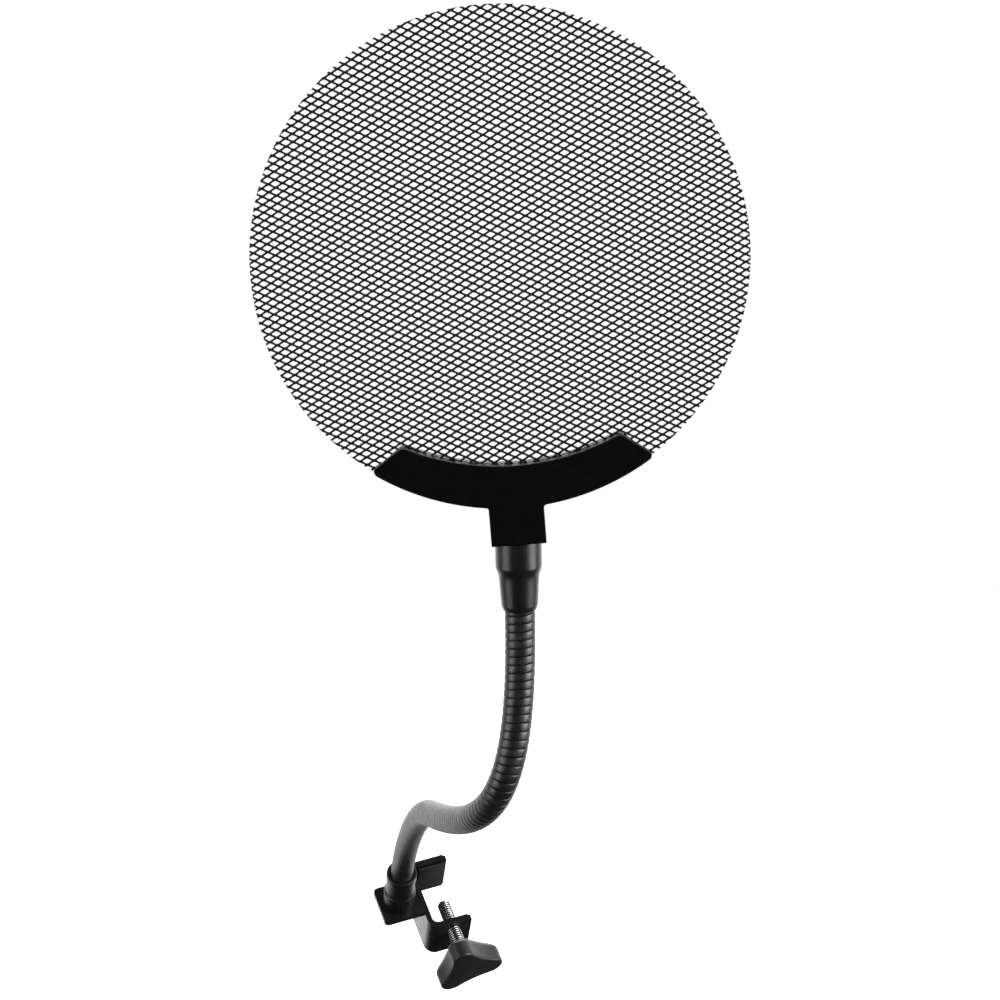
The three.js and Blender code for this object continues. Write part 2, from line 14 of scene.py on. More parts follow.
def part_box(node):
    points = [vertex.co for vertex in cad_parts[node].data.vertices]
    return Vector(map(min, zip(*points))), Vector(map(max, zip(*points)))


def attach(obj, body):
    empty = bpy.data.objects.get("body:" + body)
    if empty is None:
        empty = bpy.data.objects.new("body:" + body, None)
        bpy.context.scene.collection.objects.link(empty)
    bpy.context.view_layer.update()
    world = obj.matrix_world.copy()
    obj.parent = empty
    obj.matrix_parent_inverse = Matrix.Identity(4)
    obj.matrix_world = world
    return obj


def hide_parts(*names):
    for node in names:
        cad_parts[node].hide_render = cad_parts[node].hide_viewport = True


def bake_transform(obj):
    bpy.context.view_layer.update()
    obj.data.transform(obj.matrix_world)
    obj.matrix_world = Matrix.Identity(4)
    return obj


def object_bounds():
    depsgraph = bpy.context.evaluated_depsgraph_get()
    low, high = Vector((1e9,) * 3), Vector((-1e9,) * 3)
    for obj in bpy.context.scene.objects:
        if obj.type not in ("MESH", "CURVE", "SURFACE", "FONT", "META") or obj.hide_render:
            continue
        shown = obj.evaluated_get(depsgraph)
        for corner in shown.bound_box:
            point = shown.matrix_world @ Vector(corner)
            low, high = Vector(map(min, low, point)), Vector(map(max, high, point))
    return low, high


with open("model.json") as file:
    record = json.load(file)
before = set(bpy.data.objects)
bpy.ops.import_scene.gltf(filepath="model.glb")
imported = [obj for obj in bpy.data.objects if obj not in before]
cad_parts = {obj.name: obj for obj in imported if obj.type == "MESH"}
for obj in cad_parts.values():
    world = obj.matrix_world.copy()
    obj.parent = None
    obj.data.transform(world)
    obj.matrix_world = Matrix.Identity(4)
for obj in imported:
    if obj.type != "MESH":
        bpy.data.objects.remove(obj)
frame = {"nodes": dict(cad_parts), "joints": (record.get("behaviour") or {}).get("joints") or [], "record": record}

MM = 0.001
CAD_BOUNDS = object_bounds()
PAST = 1  # how far a cutting tool runs past the face that it opens
CORNER_ANGLE = 40  # degrees; edges sharper than this are bevelled
CAD_BEVEL = 0.12  # on the CAD nodes that still show
MOST_TRIM = 0.45  # of an outline's edge, where its corner is rounded off

# Camera and studio. The offsets are from the centre of the screen.
CAMERA_OFFSET = (4.7, -608.2, 59.4)
CAMERA_AIM = (-5.8, 0, -73.9)
CAMERA_ROLL = -4.6  # degrees
CAMERA_LENS = 72
SENSOR_WIDTH = 36
CLIP_RANGE = (0.01, 100)  # metres
FLOOR_DROP = 250  # the part hangs on a pole, well above the floor
FLOOR_RADIUS = 1500
FLOOR_SIDES = 120
FLOOR_THICKNESS = 10
FLOOR_GLOW = 0.6  # keeps the floor as white as the backdrop
BACK_LIGHT = 1.7
FRONT_LIGHT = 0.035
BACK_FADE = (0.1, 0.9)  # from the dim front to the bright back, along the direction's Y
LOW_FADE = (-0.9, -0.55)  # from the dark underside up, along its Z
SOFT_BOXES = [  # name, azimuth, elevation, distance and size in metres, watts, colour
    ("left_box", -64, 8, 1.6, (1, 1.6), 18, (0.93, 0.95, 1)),
    ("right_box", 70, 8, 1.6, (1.1, 1.6), 46, (1, 0.985, 0.96)),
]
SUN = {"strength": 2.4, "angle": 60, "tilt": -50}  # the angles are in degrees

# Screen.
SCREEN_RADIUS = 76
SCREEN_THICKNESS = 0.5
SCREEN_WELD = 2e-6  # metres
DIAMOND = {"length": 4.37, "height": 2.38, "strand": 0.62, "end_cut": 0.16, "top_cut": 0.1}

# Holder, in the screen's own plane: a crescent between two arcs, with a stem below.
HOLDER = {
    "front_radius": 75.7,
    "rear_radius": 76.9,
    "inner_radius": 76,
    "inner_rise": 13.4,
    "middle": -0.9,
    "outer_half": 43.7,
    "inner_half": 33.6,
    "corner": 1.7,
    "front": 4.5,
    "front_back": 0.36,
    "rear_front": 0.24,
    "back": 4,
    "edge": 0.4,
}
POCKET = {"radius": 76.3, "depth": 0.55}
GASKET_GROOVE = {"inner": 77.7, "outer": 80.8, "half_angle": 22.3, "depth": 1.2}
STEM = {"half_width": 8.6, "bottom": -87.8, "fillet": 1.2, "back": 10, "boss_top": -74}
BOSS_FRONT = -0.5
PLUG_BORE = {"radius": 4.3, "top": 11.5}
HOLDER_SCREW = {"radius": 71, "angles": (-24, 0, 24), "hole": 1.3, "head_hole": 2.5, "seat": 2.6}
GRUB_HOLE = {"radius": 1.8, "height": 6.5, "inner_end": -3, "outer_end": -12}

# Gooseneck.
NECK_TILT = 3  # degrees
NECK_ENTRY = (-1.2, 2.5, -87.8)
SLEEVE_LENGTH = 22.4
NECK_BORE = 5.05
NECK_START = 8  # above the tab
NECK_END = -1  # just below the stem's bottom face
UPPER_SLEEVE = [  # radius, height above the sleeve's lower end
    (5.3, 0),
    (5.75, 1.3),
    (6.0, 5.2),
    (6.3, 10),
    (6.45, 11.5),
    (7.3, 14),
    (7.35, 23.4),
]
SLEEVE_GAP = 0.05  # between the upper sleeve and the stem
SLEEVE_ROUNDING = {"upper": 0.5, "lower": 0.35}
LOWER_SLEEVE = [  # radius, height above the tab
    (6.8, 0.3),
    (6.95, 9.2),
    (6.9, 9.9),
    (6.3, 10.7),
    (6.2, 19.4),
    (6.25, 20.1),
    (6.6, 20.8),
    (6.55, 23.8),
    (6.2, 24),
]
NECK_ROUTE = {
    "middle": (-41.5, 79.5, -206),
    "turn": -12.6,
    "climb": -16,
    "stem_handle": 64,
    "up_handle": 117,
    "down_handle": 30,
    "ferrule_handle": 27,
}
NECK_RADIUS = 4.86  # over the crests of the wedge wire
WIRE_PITCH = 2.7
CROWN = {"radius": 9, "half_width": 1.12, "steps": 6}
WEDGE_SIDE = [(4.73, 1.23), (4.6, 1.29), (4.25, 1.15)]  # its rounded corner, in to the flank
WEDGE_ROOT = {"flank": (3.95, 0.5), "bottom": 3.6}
ROUND_WIRE = {"radius": 1.15, "centre": 3.2}
CREST_HEIGHT = 0.08  # of the wedge wire's crown, where the paint wears
HINGE_COUNT = 8

# Clamp, in a frame with Z up along the pole, -Y out along the screw, and the web at -X.
STRIP = {
    "thickness": 2.4,
    "top": 7,
    "bottom": -16,
    "web": -11.3,
    "bend": 5,
    "jaw_end": 7.5,
    "arm_end": 8,
    "jaw_face": 9.3,
    "arm_face": -19.9,
    "corner": 1.3,
    "edge": 0.35,
}
TAB = {"outer": -29.3, "front": -13.8, "back": 4.2, "corner": 2, "root": 1}
FERRULE = (-20.3, -4.8, 7)
FERRULE_HEIGHT = 24
TAB_HOLE = 1.8
TAB_HOLE_REACH = (-6, 3)  # of the cutting tool, from the tab's top face
SCREW_HOLE_REACH = (-2, 5)  # of the cutting tool, from the arm's face
SCREW = {
    "crest": 2.92,
    "root": 2.36,
    "pitch": 1,
    "fullness": 0.8,  # under 1, this makes the crests wider than the roots
    "runout": 0.9,  # turns over which the thread starts
    "tip": 8,
    "end": 41,
    "chamfer": 0.4,
    "hole": 3.05,
}
KNOB = {
    "start": 29.3,
    "neck": 4.9,
    "flare": 7.3,
    "flare_start": 0.5,
    "shoulder": 6.8,
    "end": 43,
    "edge": 1.2,
    "bore": 3.1,
    "bore_end": 41.3,
    "bore_chamfer": 0.3,
    "neck_edge": ((0, 0.4), (0.2, 0.1)),  # height above the start, and how far in from the neck
    "crown": ((0.15, 0.9, 0.6), (0.2, 0, 0)),  # height above the end, the lobes' share, their size
}
KNOB_LOBES = {"count": 3, "turn": -12, "centre": 11, "radius": 5, "half_sweep": 72, "hollow": 8.2}


# ---------------------------------------------------------------- frames


class Place:
    """A local frame: points are in millimetres from its origin, along its three axes."""

    def __init__(self, origin, x, y, z):
        self.origin = np.array(origin, float)
        self.axes = np.array([x, y, z], float)

    def world(self, points):
        return self.origin + MM * np.asarray(points, float) @ self.axes

    def moved(self, point):
        return Place(self.world(point), *self.axes)


def unit(vector):
    return np.array(vector, float) / np.linalg.norm(vector)


def box_centre(node):
    low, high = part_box(node)
    return np.array((low + high) / 2)


MOUNTS = {m["name"]: m for m in frame["record"]["mounts"]}
JOINTS = {j["name"]: j for j in frame["joints"]}

ROW = Place((0, 0, 0), (1, 0, 0), (0, 1, 0), (0, 0, 1))
HEAD = Place(box_centre("mesh_screen"), *ROW.axes)
PLATE = Place(HEAD.origin, (1, 0, 0), (0, 0, 1), (0, -1, 0))  # Z towards the singer
TILT = math.radians(NECK_TILT)
STEM_AXIS = Place(
    HEAD.world(NECK_ENTRY),
    (math.cos(TILT), 0, -math.sin(TILT)),
    (0, 1, 0),
    (math.sin(TILT), 0, math.cos(TILT)),
)
POLE_AXIS = unit(MOUNTS["pole_seat"]["axis"])
SCREW_AXIS = unit(JOINTS["screw_travel"]["axis"])
CLAMP = Place((0, 0, 0), np.cross(POLE_AXIS, SCREW_AXIS), -SCREW_AXIS, POLE_AXIS)
ALONG_SCREW = Place((0, 0, 0), CLAMP.axes[0], CLAMP.axes[2], SCREW_AXIS)
FERRULE_AXIS = CLAMP.moved(FERRULE)


# ---------------------------------------------------------------- mesh helpers


def new_object(name, mesh):
    made = bpy.data.objects.new(name, mesh)
    bpy.context.scene.collection.objects.link(made)
    return made


def mesh_object(name, points, faces, place=ROW, weld=1e-7):
    """A mesh from points in millimetres, with coincident points merged and faces turned outwards."""
    mesh = bpy.data.meshes.new(name)
    mesh.from_pydata(place.world(points).tolist(), [], faces)
    work = bmesh.new()
    work.from_mesh(mesh)
    bmesh.ops.remove_doubles(work, verts=work.verts, dist=weld)
    bmesh.ops.recalc_face_normals(work, faces=work.faces)
    work.to_mesh(mesh)
    work.free()
    return new_object(name, mesh)


def shaded(obj, angle=32):
    """Smooth shading, with edges sharper than the angle kept and large faces left flat."""
    obj.data.shade_smooth()
    obj.data.set_sharp_from_angle(angle=math.radians(angle))
    weighted = obj.modifiers.new("weighted", "WEIGHTED_NORMAL")
    weighted.keep_sharp = True
    return settled(obj)


def settled(obj):
    """Applies the object's modifiers."""
    graph = bpy.context.evaluated_depsgraph_get()
    old = obj.data
    mesh = bpy.data.meshes.new_from_object(obj.evaluated_get(graph))
    obj.modifiers.clear()
    obj.data = mesh
    bpy.data.meshes.remove(old)
    return obj


def combined(obj, operation, tools):
    for tool in tools:
        boolean = obj.modifiers.new("boolean", "BOOLEAN")
        boolean.operation = operation
        boolean.solver = "EXACT"
        boolean.object = tool
        settled(obj)
        bpy.data.objects.remove(tool)


def bevelled(obj, width, segments=3):
    bevel = obj.modifiers.new("bevel", "BEVEL")
    bevel.width = width * MM
    bevel.segments = segments
    bevel.limit_method = "ANGLE"
    bevel.angle_limit = math.radians(CORNER_ANGLE)
    settled(obj)


def grid_faces(rows, columns, loop_rows=False):
    """Quads over a grid of points whose columns close on themselves."""
    last = rows if loop_rows else rows - 1
    return [
        (
            row * columns + column,
            row * columns + (column + 1) % columns,
            (row + 1) % rows * columns + (column + 1) % columns,
            (row + 1) % rows * columns + column,
        )
        for row in range(last)
        for column in range(columns)
    ]


def prism(name, outline, low, high, place):
    """A flat outline, drawn out along the place's Z."""
    count = len(outline)
    points = [(x, y, z) for z in (low, high) for x, y in outline]
    faces = grid_faces(2, count)
    faces += [tuple(range(count)), tuple(range(count, 2 * count))]
    return mesh_object(name, points, faces, place)


def turned(name, profile, place, segments=96):
    """A closed outline of (radius, height) points, turned about the place's Z."""
    angles = np.linspace(0, 2 * math.pi, segments, endpoint=False)
    points = [(r * math.cos(a), r * math.sin(a), z) for r, z in profile for a in angles]
    return mesh_object(name, points, grid_faces(len(profile), segments, True), place)


def drill(radius, low, high, place, segments=48):
    """A round cutting tool along the place's Z."""
    angles = np.linspace(0, 2 * math.pi, segments, endpoint=False)
    outline = [(radius * math.cos(a), radius * math.sin(a)) for a in angles]
    return prism("drill", outline, low, high, place)


def curve_through(start, corner, end, steps):
    """A quadratic curve, without its two ends."""
    shares = np.linspace(0, 1, steps + 1)[1:-1, None]
    start, corner, end = (np.array(p, float) for p in (start, corner, end))
    return (
        (1 - shares) ** 2 * start + 2 * shares * (1 - shares) * corner + shares**2 * end
    ).tolist()


def softened(outline, radius, steps=4):
    """A closed outline with its corners rounded off."""
    points = [np.array(p, float) for p in outline]
    soft = []
    for before, corner, after in zip(points[-1:] + points[:-1], points, points[1:] + points[:1]):
        trims = [
            corner + (side - corner) * min(MOST_TRIM, radius / np.linalg.norm(side - corner))
            for side in (before, after)
        ]
        soft += [trims[0].tolist(), *curve_through(trims[0], corner, trims[1], steps)]
        soft.append(trims[1].tolist())
    return soft


def arc(centre, radius, start, end, steps):
    """Points on an arc, from one angle to another in degrees, both ends included."""
    angles = np.radians(np.linspace(start, end, steps + 1))
    return [
        (centre[0] + radius * math.cos(a), centre[1] + radius * math.sin(a)) for a in angles
    ]


# ---------------------------------------------------------------- materials


class Shader:
    """A Principled material whose patterns are in the object's own coordinates."""

    def __init__(self, name, **values):
        self.material = bpy.data.materials.new(name)
        self.material.use_nodes = True
        self.nodes = self.material.node_tree.nodes
        self.links = self.material.node_tree.links
        self.surface = self.nodes["Principled BSDF"]
        for socket, value in values.items():
            self.surface.inputs[socket.replace("_", " ")].default_value = value
        self.coordinates = self.nodes.new("ShaderNodeTexCoord").outputs["Object"]

    def noise(self, size, detail=4):
        """Noise whose blotches are about that many millimetres across."""
        node = self.nodes.new("ShaderNodeTexNoise")
        node.inputs["Scale"].default_value = 1 / (size * MM)
        node.inputs["Detail"].default_value = detail
        self.links.new(self.coordinates, node.inputs["Vector"])
        return node.outputs["Fac"]

    def ranged(self, value, low, high, source=(0.3, 0.7)):
        node = self.nodes.new("ShaderNodeMapRange")
        self.links.new(value, node.inputs["Value"])
        limits = (*source, low, high)
        for socket, limit in zip(("From Min", "From Max", "To Min", "To Max"), limits):
            node.inputs[socket].default_value = limit
        return node.outputs["Result"]

    def attribute(self, name):
        """A value that the mesh carries on its points."""
        node = self.nodes.new("ShaderNodeAttribute")
        node.attribute_name = name
        return node.outputs["Fac"]

    def product(self, first, second):
        node = self.nodes.new("ShaderNodeMath")
        node.operation = "MULTIPLY"
        self.links.new(first, node.inputs[0])
        self.links.new(second, node.inputs[1])
        return node.outputs["Value"]

    def color(self, share, dark, light):
        node = self.nodes.new("ShaderNodeMix")
        node.data_type = "RGBA"
        node.inputs["A"].default_value = (*dark, 1)
        node.inputs["B"].default_value = (*light, 1)
        self.links.new(share, node.inputs["Factor"])
        self.links.new(node.outputs["Result"], self.surface.inputs["Base Color"])

    def roughness(self, value, low, high):
        self.links.new(self.ranged(value, low, high), self.surface.inputs["Roughness"])

    def bump(self, height, depth):
        """A relief of that many millimetres."""
        node = self.nodes.new("ShaderNodeBump")
        node.inputs["Distance"].default_value = depth * MM
        self.links.new(height, node.inputs["Height"])
        self.links.new(node.outputs["Normal"], self.surface.inputs["Normal"])


def grained(name, dark, light, roughness, grain, depth, **values):
    """A moulded or painted surface: fine grain, and slow changes of tone and gloss."""
    shader = Shader(name, **values)
    shader.color(shader.ranged(shader.noise(9), 0, 1), dark, light)
    shader.roughness(shader.noise(3.5, 6), *roughness)
    shader.bump(shader.noise(grain, 3), depth)
    return shader.material


def neck_paint():
    """Enamel that has worn thin along the crests of the winding."""
    shader = Shader("neck_paint", Metallic=0.0, Specular_IOR_Level=0.7)
    patches = shader.ranged(shader.noise(5, 6), 0, 1, (0.45, 0.75))
    wear = shader.product(shader.attribute("crest"), patches)
    shader.color(wear, (0.0095, 0.0085, 0.0082), (0.036, 0.032, 0.031))
    shader.roughness(shader.noise(2.5, 5), 0.34, 0.46)
    shader.bump(shader.noise(0.35, 3), 0.012)
    return shader.material


def turned_metal(name, dark, light, roughness):
    """Plated or bare steel, a little uneven in tone and gloss."""
    shader = Shader(name, Metallic=1.0)
    shader.color(shader.ranged(shader.noise(2.5, 4), 0, 1), dark, light)
    shader.roughness(shader.noise(1.2, 4), *roughness)
    return shader.material


def thread_plating_with_painted_light():
    """Zinc with a painted highlight along the thread's crests and painted shade in its roots."""
    shader = Shader("zinc_thread_painted_light", Metallic=1.0)
    # The crest share paints shade into the roots and a highlight onto the crests.
    crests = shader.ranged(shader.attribute("crest"), 0, 1, (0.35, 0.9))
    shader.color(crests, (0.012, 0.012, 0.012), (0.85, 0.86, 0.87))
    shader.roughness(shader.noise(1.2, 4), 0.22, 0.32)
    return shader.material


MATERIALS = {
    "screen_paint": grained(
        "screen_paint", (0.006, 0.0055, 0.0055), (0.012, 0.011, 0.011), (0.42, 0.56), 0.25, 0.02
    ),
    "holder_plastic": grained(
        "holder_plastic",
        (0.0007, 0.0007, 0.0008),
        (0.0015, 0.0015, 0.0016),
        (0.5, 0.62),
        0.22,
        0.015,
        Specular_IOR_Level=0.12,
    ),
    "sleeve_black": grained(
        "sleeve_black", (0.006, 0.006, 0.0065), (0.01, 0.01, 0.0105), (0.3, 0.38), 0.3, 0.004
    ),
    "neck_paint": neck_paint(),
    "clamp_paint": grained(
        "clamp_paint", (0.008, 0.0075, 0.0072), (0.014, 0.013, 0.0125), (0.2, 0.32), 0.9, 0.008
    ),
    "knob_plastic": grained(
        "knob_plastic", (0.010, 0.010, 0.0105), (0.017, 0.0165, 0.017), (0.4, 0.52), 0.28, 0.02
    ),
    "pad_rubber": grained(
        "pad_rubber", (0.012, 0.012, 0.012), (0.022, 0.021, 0.021), (0.75, 0.9), 0.4, 0.05
    ),
    "zinc_thread_painted_light": thread_plating_with_painted_light(),
    "zinc": turned_metal("zinc", (0.6, 0.61, 0.63), (0.7, 0.71, 0.73), (0.24, 0.32)),
    "bare_steel": turned_metal("bare_steel", (0.3, 0.3, 0.29), (0.5, 0.5, 0.48), (0.3, 0.42)),
}


def finished(obj, slot, body=None, stands_for=(), material=None):
    """Gives a new piece its slot's material, hides the CAD nodes that it replaces, and lets it ride."""
    obj.data.materials.clear()
    obj.data.materials.append(MATERIALS[material or slot])
    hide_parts(*stands_for)
    if body:
        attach(obj, body)


# ---------------------------------------------------------------- screen


def diamond_faces(centre):
    """The flat faces of one diamond cell, round its opening."""
    half = np.array([DIAMOND["length"] / 2, DIAMOND["height"] / 2])
    slope = math.atan2(half[1], half[0])
    inset = DIAMOND["strand"] / 2
    opening = half - [inset / math.sin(slope), inset / math.cos(slope)]
    corners = [np.array(c) * half for c in ((1, 0), (0, 1), (-1, 0), (0, -1))]
    tips = [np.array(c) * opening for c in ((1, 0), (0, 1), (-1, 0), (0, -1))]
    cuts = [DIAMOND["end_cut"], DIAMOND["top_cut"]] * 2
    before = [t + (tips[i - 1] - t) * cuts[i] for i, t in enumerate(tips)]
    after = [t + (tips[(i + 1) % 4] - t) * cuts[i] for i, t in enumerate(tips)]
    faces = []
    for i in range(4):
        faces.append([corners[i], before[i], after[i]])
        faces.append([corners[i], after[i], before[(i + 1) % 4], corners[(i + 1) % 4]])
    return [[centre + p for p in reversed(face)] for face in faces]


def within_disc(face):
    """The part of a small face that lies inside the screen's circle."""
    kept = []
    for here, after in zip(face, face[1:] + face[:1]):
        inside = np.linalg.norm(here) <= SCREEN_RADIUS
        if inside:
            kept.append(here)
        if inside != (np.linalg.norm(after) <= SCREEN_RADIUS):
            kept.append(crossing(here, after))
    return kept


def crossing(first, second):
    """Where a short edge meets the screen's circle."""
    step = second - first
    a, b, c = step @ step, first @ step, first @ first - SCREEN_RADIUS**2
    root = math.sqrt(b * b - a * c)
    share = next(s for s in ((-b - root) / a, (-b + root) / a) if -1e-9 <= s <= 1 + 1e-9)
    return first + step * share


def cell_centres():
    half_length, half_height = DIAMOND["length"] / 2, DIAMOND["height"] / 2
    columns = math.ceil(SCREEN_RADIUS / half_length) + 1
    rows = math.ceil(SCREEN_RADIUS / half_height) + 1
    for column in range(-columns, columns + 1):
        for row in range(-rows, rows + 1):
            if (column + row) % 2 == 0:
                yield np.array([column * half_length, row * half_height])


def drop_islands(work):
    """Deletes what the circle has cut loose, and keeps the largest connected sheet."""
    unseen, islands = set(work.faces), []
    while unseen:
        island, edge = set(), [unseen.pop()]
        while edge:
            face = edge.pop()
            island.add(face)
            near = {f for e in face.edges for f in e.link_faces} & unseen
            unseen -= near
            edge += near
        islands.append(island)
    largest = max(islands, key=len)
    loose = [f for island in islands if island is not largest for f in island]
    bmesh.ops.delete(work, geom=loose, context="FACES")


def expanded_metal():
    points, faces = [], []
    for centre in cell_centres():
        if np.linalg.norm(centre) > SCREEN_RADIUS + DIAMOND["length"]:
            continue
        for face in diamond_faces(centre):
            face = within_disc(face)
            if len(face) > 2:
                faces.append(range(len(points), len(points) + len(face)))
                points += [(x, y, 0) for x, y in face]
    sheet = mesh_object("screen_expanded_metal", points, faces, PLATE, weld=SCREEN_WELD)
    work = bmesh.new()
    work.from_mesh(sheet.data)
    bmesh.ops.dissolve_degenerate(work, dist=SCREEN_WELD, edges=work.edges)
    drop_islands(work)
    work.to_mesh(sheet.data)
    work.free()
    solidify = sheet.modifiers.new("thickness", "SOLIDIFY")
    solidify.thickness = SCREEN_THICKNESS * MM
    solidify.offset = 0
    settled(sheet)
    shaded(sheet)
    finished(sheet, "screen_paint", "head", ["mesh_screen"])


# ---------------------------------------------------------------- holder


def below(radius, angle):
    """A point at a radius, and at an angle in degrees from straight down."""
    turn = math.radians(angle)
    return np.array([radius * math.sin(turn), -radius * math.cos(turn)])


def arc_point(radius, rise, angle):
    """A point on one of the holder's arcs, at an angle from straight down about its centre."""
    return np.array([radius * math.sin(angle), rise - radius * math.cos(angle)])


def arc_points(radius, rise, start, end, steps):
    return [arc_point(radius, rise, a) for a in np.linspace(start, end, steps + 1)]


def crescent_end(side, outer_radius):
    """One end of the crescent, from the outer arc round to the inner, and where each arc stops."""
    radius, rise, corner = HOLDER["inner_radius"], HOLDER["inner_rise"], HOLDER["corner"]
    outer_angle = math.asin((HOLDER["middle"] + side * HOLDER["outer_half"]) / outer_radius)
    inner_angle = math.asin((HOLDER["middle"] + side * HOLDER["inner_half"]) / radius)
    outer, inner = arc_point(outer_radius, 0, outer_angle), arc_point(radius, rise, inner_angle)
    outer_stop = outer_angle - side * corner / outer_radius
    inner_stop = inner_angle - side * corner / radius
    start, end = arc_point(outer_radius, 0, outer_stop), arc_point(radius, rise, inner_stop)
    across = unit(inner - outer) * corner
    rounding = [
        *curve_through(start, outer, outer + across, 5),
        outer + across,
        inner - across,
        *curve_through(inner - across, inner, end, 5),
    ]
    return rounding, outer_stop, inner_stop


def stem_side(side, outer_radius):
    """One side of the stem, from the bottom up, and the angle where its fillet meets the arc."""
    fillet = STEM["fillet"]
    x = HOLDER["middle"] + side * STEM["half_width"]
    angle = math.asin((x + side * fillet) / outer_radius)
    root = arc_point(outer_radius, 0, angle)
    top = (x, root[1] - fillet)
    return [(x, STEM["bottom"]), top, *curve_through(top, (x, root[1]), root, 5)], angle


def holder_outline(outer_radius):
    """The crescent, open at the top, with the stem below."""
    right, outer_right, inner_right = crescent_end(1, outer_radius)
    left, outer_left, inner_left = crescent_end(-1, outer_radius)
    stem_right, root_right = stem_side(1, outer_radius)
    stem_left, root_left = stem_side(-1, outer_radius)
    return [
        *stem_right,
        *arc_points(outer_radius, 0, root_right, outer_right, 24),
        *right,
        *arc_points(HOLDER["inner_radius"], HOLDER["inner_rise"], inner_right, inner_left, 56),
        *reversed(left),
        *arc_points(outer_radius, 0, outer_left, root_left, 24),
        *reversed(stem_left),
    ]


def at_holder_screws(radius, low, high):
    centres = [below(HOLDER_SCREW["radius"], a) for a in HOLDER_SCREW["angles"]]
    return [drill(radius, low, high, PLATE.moved((x, y, 0))) for x, y in centres]


def plug_bore():
    return drill(PLUG_BORE["radius"], -PAST, PLUG_BORE["top"], STEM_AXIS)


def gasket_groove():
    """A band that follows the holder's inner arc, cut into the front shell's back face."""
    half, rise = math.radians(GASKET_GROOVE["half_angle"]), HOLDER["inner_rise"]
    band = arc_points(GASKET_GROOVE["outer"], rise, -half, half, 40)
    band += arc_points(GASKET_GROOVE["inner"], rise, half, -half, 40)
    return prism("groove", band, -PAST, GASKET_GROOVE["depth"], PLATE)


def holder_front():
    outline = holder_outline(HOLDER["front_radius"])
    shell = prism("holder_front", outline, HOLDER["front_back"], HOLDER["front"], PLATE)
    bevelled(shell, HOLDER["edge"])
    combined(shell, "DIFFERENCE", [gasket_groove(), plug_bore()])
    shaded(shell)
    finished(shell, "holder_plastic", "head", ["bracket_front_shell"])


def holder_rear():
    outline = holder_outline(HOLDER["rear_radius"])
    shell = prism("holder_rear", outline, -HOLDER["back"], HOLDER["rear_front"], PLATE)
    left, right = (HOLDER["middle"] + side * STEM["half_width"] for side in (-1, 1))
    low, high = STEM["bottom"], STEM["boss_top"]
    corners = [(left, low), (right, low), (right, high), (left, high)]
    boss = prism("boss", corners, -STEM["back"], BOSS_FRONT, PLATE)
    combined(shell, "UNION", [boss])
    bevelled(shell, HOLDER["edge"])
    pocket = drill(POCKET["radius"], -POCKET["depth"], PAST, PLATE, 180)
    grub = Place(STEM_AXIS.world((0, 0, GRUB_HOLE["height"])), (1, 0, 0), (0, 0, 1), (0, -1, 0))
    grub_hole = drill(GRUB_HOLE["radius"], GRUB_HOLE["outer_end"], GRUB_HOLE["inner_end"], grub)
    outside = -HOLDER["back"] - PAST
    tools = [pocket, plug_bore(), grub_hole]
    tools += at_holder_screws(HOLDER_SCREW["hole"], outside, PAST)
    tools += at_holder_screws(HOLDER_SCREW["head_hole"], outside, -HOLDER_SCREW["seat"])
    combined(shell, "DIFFERENCE", tools)
    shaded(shell)
    finished(shell, "holder_plastic", "head", ["bracket_rear_shell"])


# ---------------------------------------------------------------- sleeves


def sleeve_outline(profile, foot):
    """The outside of a sleeve from the bottom up, closed by the neck's bore."""
    outside = [(radius, foot + height) for radius, height in profile]
    return [(NECK_BORE, outside[0][1]), *outside, (NECK_BORE, outside[-1][1])]


def upper_sleeve():
    outline = sleeve_outline(UPPER_SLEEVE, -SLEEVE_LENGTH)
    sleeve = turned("sleeve_upper", softened(outline, SLEEVE_ROUNDING["upper"]), STEM_AXIS)
    stem_face = STEM_AXIS.origin[2] - SLEEVE_GAP * MM
    for vertex in sleeve.data.vertices:
        vertex.co.z = min(vertex.co.z, stem_face)
    shaded(sleeve, 50)
    finished(sleeve, "sleeve_black", "head", ["upper_sleeve"])


def lower_sleeve():
    outline = sleeve_outline(LOWER_SLEEVE, 0)
    sleeve = turned("sleeve_lower", softened(outline, SLEEVE_ROUNDING["lower"]), FERRULE_AXIS)
    shaded(sleeve, 50)
    finished(sleeve, "sleeve_black", "clamp", ["lower_sleeve"])


# ---------------------------------------------------------------- gooseneck


def cubic(p0, p1, p2, p3, steps=400):
    t = np.linspace(0, 1, steps + 1)[:, None]
    return (1 - t) ** 3 * p0 + 3 * t * (1 - t) ** 2 * p1 + 3 * t**2 * (1 - t) * p2 + t**3 * p3


